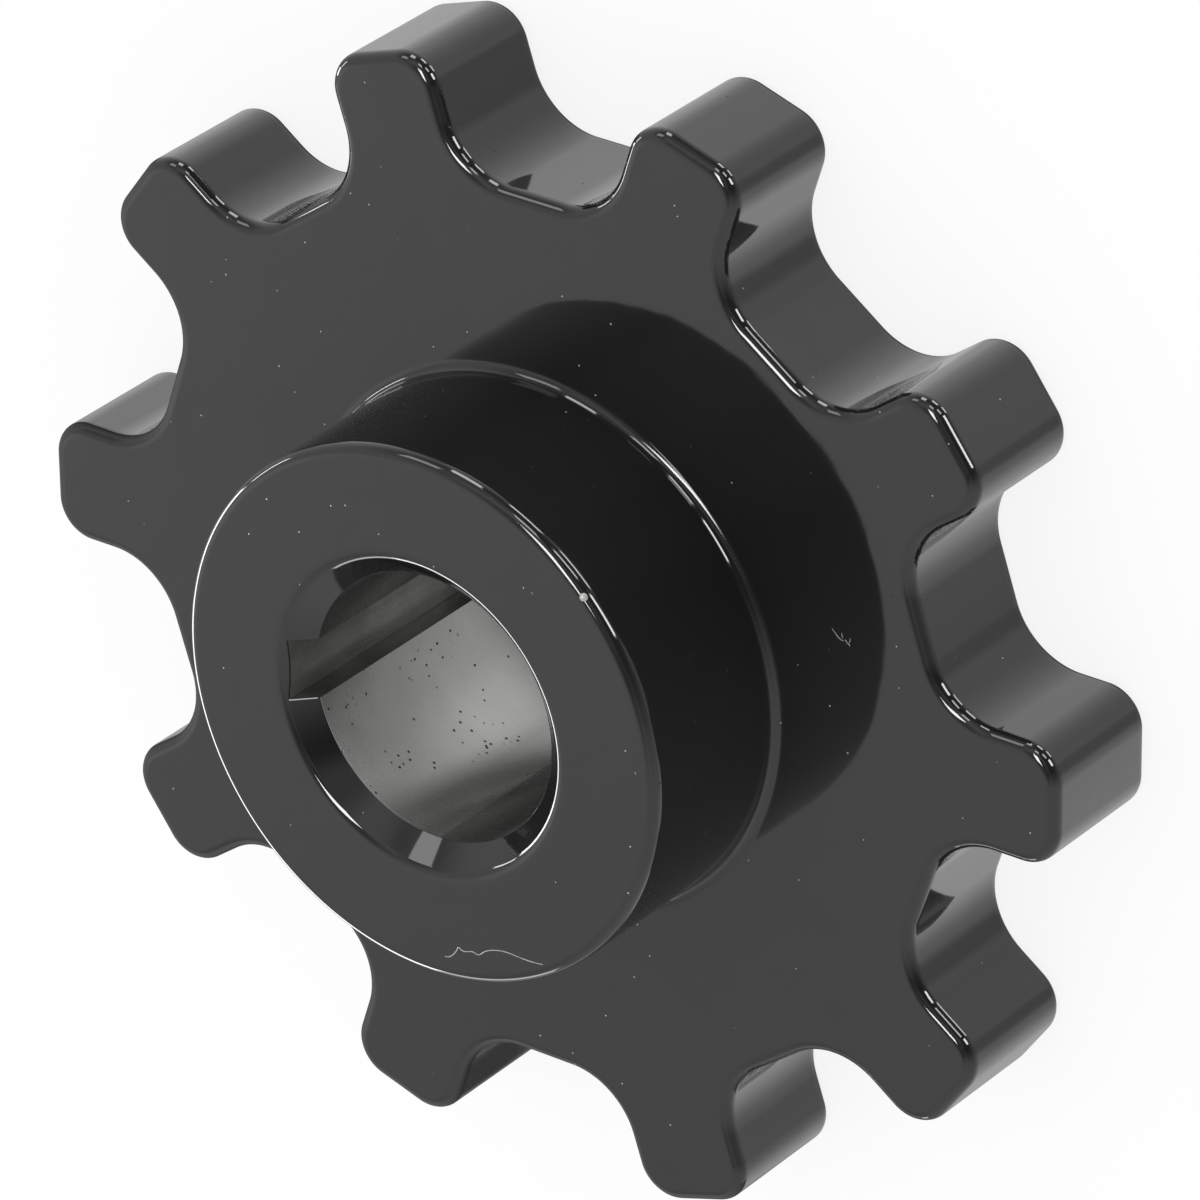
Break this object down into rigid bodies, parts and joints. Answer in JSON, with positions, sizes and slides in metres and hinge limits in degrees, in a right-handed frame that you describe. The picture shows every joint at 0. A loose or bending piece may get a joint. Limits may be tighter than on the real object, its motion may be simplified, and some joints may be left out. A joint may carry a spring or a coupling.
{
  "type": "chain sprocket",
  "caption": "Chain sprocket in solid steel, painted gloss black: thick plate with straight-flanked teeth and wide gaps, a plain offset hub and a chamfered bore with a keyway.",
  "frame": {"origin": "on the bore axis, in the plane of the plate's flat back face", "axes": "+Z along the bore axis towards the hub's nose; +X through the tooth that stands in line with the keyway"},
  "size_m": [0.1494, 0.1444, 0.0428],
  "materials": {
    "black_paint": "gloss black paint over steel; the bore wall and keyway are bare machined steel"
  },
  "bodies": {
    "root": {"sprocket": "black_paint"}
  },
  "joints": []
}
